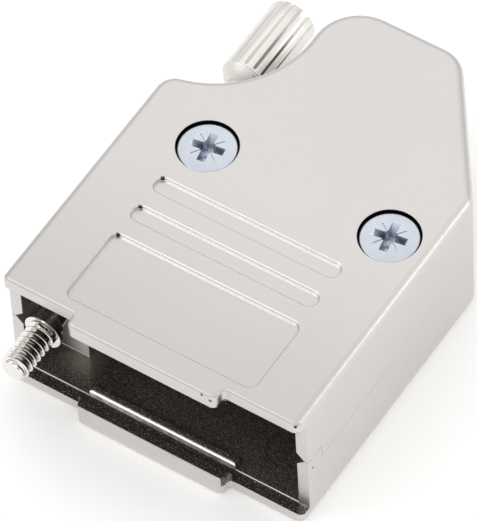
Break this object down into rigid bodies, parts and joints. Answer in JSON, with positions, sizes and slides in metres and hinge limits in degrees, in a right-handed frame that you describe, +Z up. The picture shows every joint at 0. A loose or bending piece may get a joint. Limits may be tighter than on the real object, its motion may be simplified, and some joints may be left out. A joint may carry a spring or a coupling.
{
  "type": "d-sub hood",
  "caption": "Metal D-sub connector hood in two screwed shells, with a slanted cable exit and a captive long thumbscrew beside a scooped flank.",
  "frame": {"origin": "centre of the mouth, on the plane of the front lips", "axes": "+Y from the mouth towards the rear, along the jackscrews; +X towards the slanted cable wall; +Z up, through the screwed shell"},
  "size_m": [0.0314, 0.0467, 0.0154],
  "materials": {
    "cast_shell": "nickel-plated die-cast zinc, satin",
    "turned_nickel": "nickel-plated turned steel, bright",
    "zinc_screw": "bright zinc-plated steel with a blue passivation",
    "clamp_steel": "nickel-plated pressed steel strip"
  },
  "bodies": {
    "hood": {"upper_shell": "cast_shell", "lower_shell": "cast_shell", "shell_screw_left": "zinc_screw", "shell_screw_right": "zinc_screw", "cable_clamp": "clamp_steel", "clamp_screw_front": "zinc_screw", "clamp_screw_rear": "zinc_screw"},
    "ring": {"retaining_ring": "turned_nickel"},
    "screw": {"thumbscrew": "turned_nickel"}
  },
  "joints": [
    {"name": "thumbscrew_slide", "type": "slide", "parent": "hood", "child": "ring", "axis": [0, -1, 0], "range_m": [-0.0028, 0.0045]},
    {"name": "thumbscrew_turn", "type": "hinge", "parent": "ring", "child": "screw", "pos_m": [-0.01249, 0, 0], "axis": [0, -1, 0], "continuous": true}
  ]
}
